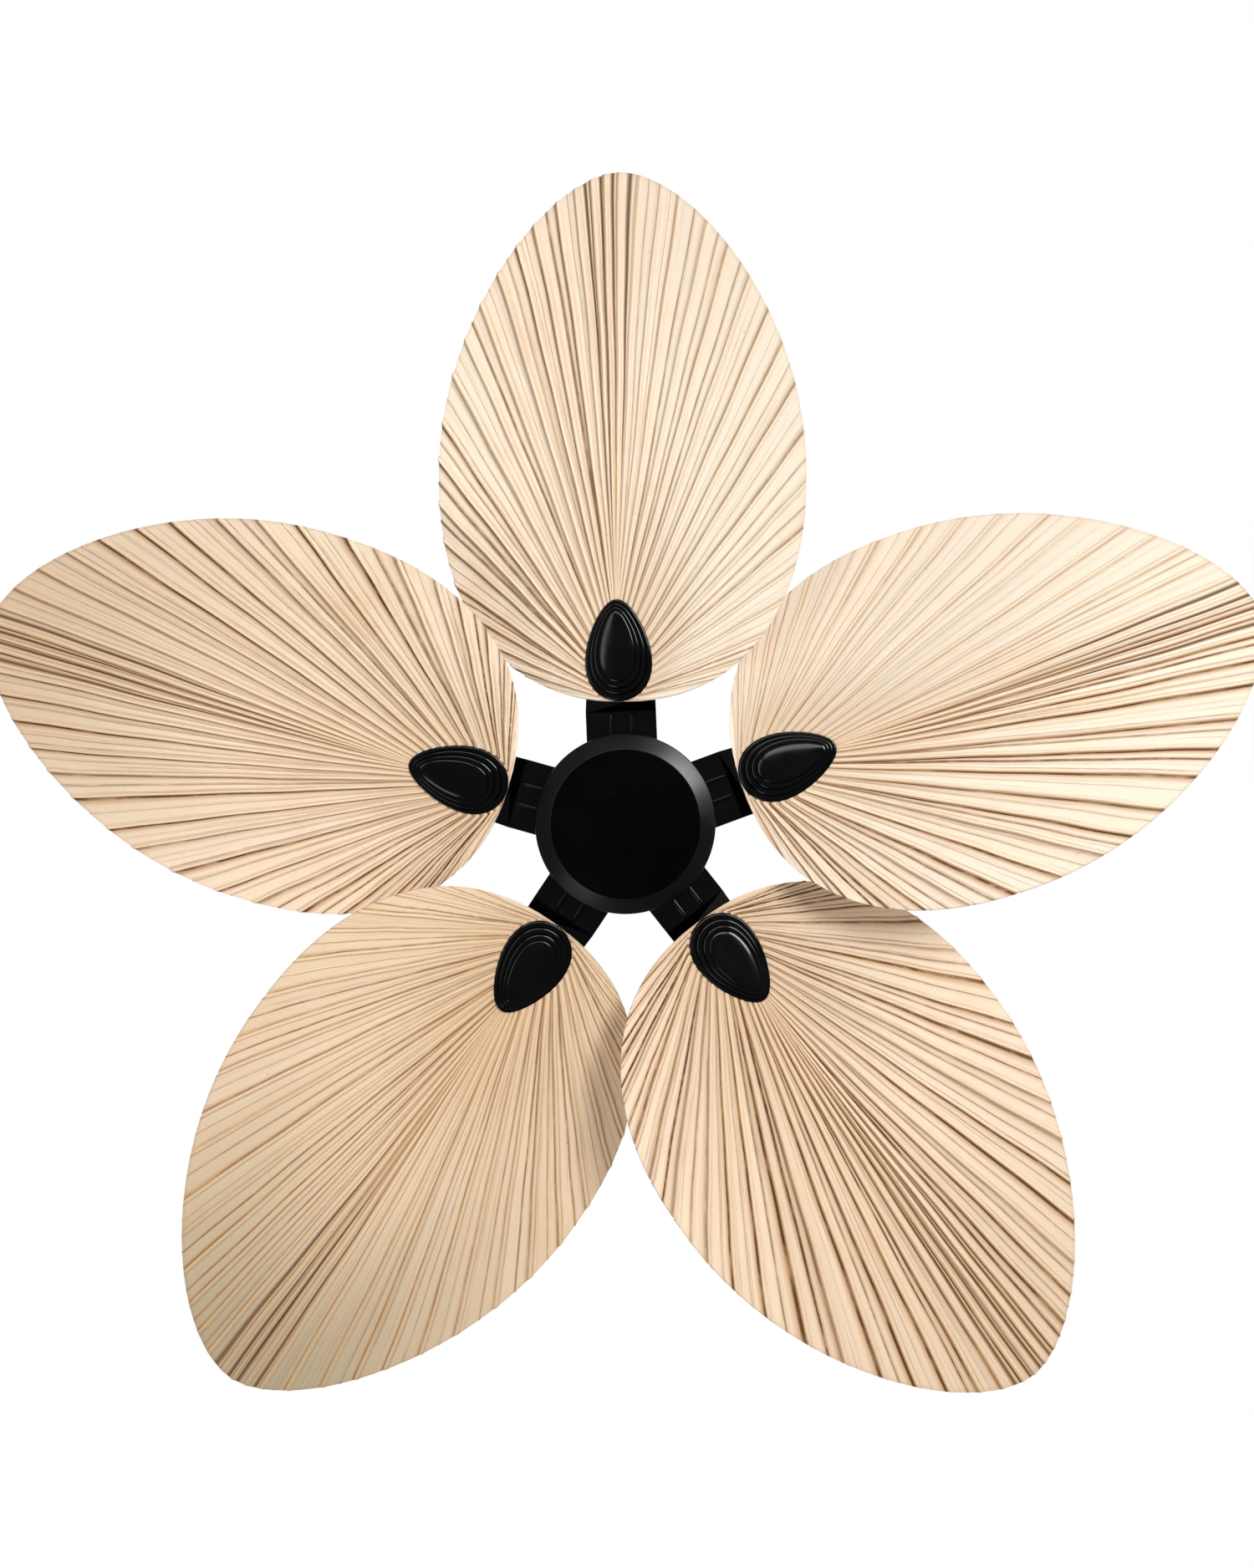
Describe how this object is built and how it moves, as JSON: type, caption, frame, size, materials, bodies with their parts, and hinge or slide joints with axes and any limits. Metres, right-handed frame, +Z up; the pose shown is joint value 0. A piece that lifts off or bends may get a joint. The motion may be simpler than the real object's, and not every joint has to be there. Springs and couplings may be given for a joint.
{
  "type": "ceiling fan",
  "caption": "Ceiling fan with pleated palm leaf blades on flat irons round a plain disc cap, hung from a ball and a short downrod under a round canopy.",
  "frame": {"origin": "point of the ceiling on the fan's axis, in the plane of the hanger bracket's top face", "axes": "+Z up out of the ceiling face along the fan's axis, X along the slots for the outlet box screws, and the fan hangs towards -Z"},
  "size_m": [1.2929, 1.2439, 0.3538],
  "materials": {
    "leaf_pale": "dried palm leaf, pale cream",
    "leaf_tan": "dried palm leaf, tan",
    "black_satin": "satin black powder coat",
    "black_cap": "satin black moulded cap",
    "zinc_steel": "zinc plated steel",
    "bearing_steel": "polished bearing steel",
    "cast_alloy": "as cast",
    "lamination": "stacked laminations",
    "copper": "enamelled copper wire",
    "hanger_plastic": "filled nylon",
    "wire_cover": "wire insulation",
    "capacitor_case": "moulded case",
    "ground_green": "green screw head"
  },
  "bodies": {
    "ceiling_mount": {"hanger_bracket": "zinc_steel", "ground_screw": "ground_green", "canopy": "black_satin", "canopy_screws": "black_satin"},
    "hanging_unit": {"hanger_ball": "hanger_plastic", "ball_pin": "zinc_steel", "ball_set_screw": "zinc_steel", "downrod": "black_satin", "motor_yoke": "cast_alloy", "yoke_pin": "zinc_steel", "yoke_set_screws": "zinc_steel", "coupling_cover": "black_satin", "motor_housing": "black_satin", "housing_screws": "zinc_steel", "motor_shaft": "zinc_steel", "stator_core": "lamination", "stator_windings": "copper", "lead_wires": "wire_cover", "bearing_inner_races": "bearing_steel", "shaft_spacer": "zinc_steel", "cap_plate": "zinc_steel", "shaft_nut": "zinc_steel", "capacitor": "capacitor_case", "hub_cap": "black_satin", "hub_cap_screws": "black_satin"},
    "rotor": {"upper_shell": "cast_alloy", "lower_shell": "cast_alloy", "rotor_core": "lamination", "shell_screws": "zinc_steel", "bearing_outer_races": "bearing_steel", "bearing_balls": "bearing_steel", "iron_screws": "black_satin", "blade_screws": "black_satin", "blade_iron_1": "black_satin", "blade_iron_2": "black_satin", "blade_iron_3": "black_satin", "blade_iron_4": "black_satin", "blade_iron_5": "black_satin", "blade_leaf_1": "leaf_pale", "blade_leaf_2": "leaf_pale", "blade_leaf_3": "leaf_tan", "blade_leaf_4": "leaf_tan", "blade_leaf_5": "leaf_tan", "blade_cap_1": "black_cap", "blade_cap_2": "black_cap", "blade_cap_3": "black_cap", "blade_cap_4": "black_cap", "blade_cap_5": "black_cap"}
  },
  "joints": [
    {"name": "ball_swing", "type": "hinge", "parent": "ceiling_mount", "child": "hanging_unit", "pos_m": [0, 0, -0.042], "axis": [0, 1, 0], "range_deg": [-6, 6]},
    {"name": "rotor_spin", "type": "hinge", "parent": "hanging_unit", "child": "rotor", "pos_m": [0, 0, -0.25], "axis": [0, 0, 1], "continuous": true}
  ]
}
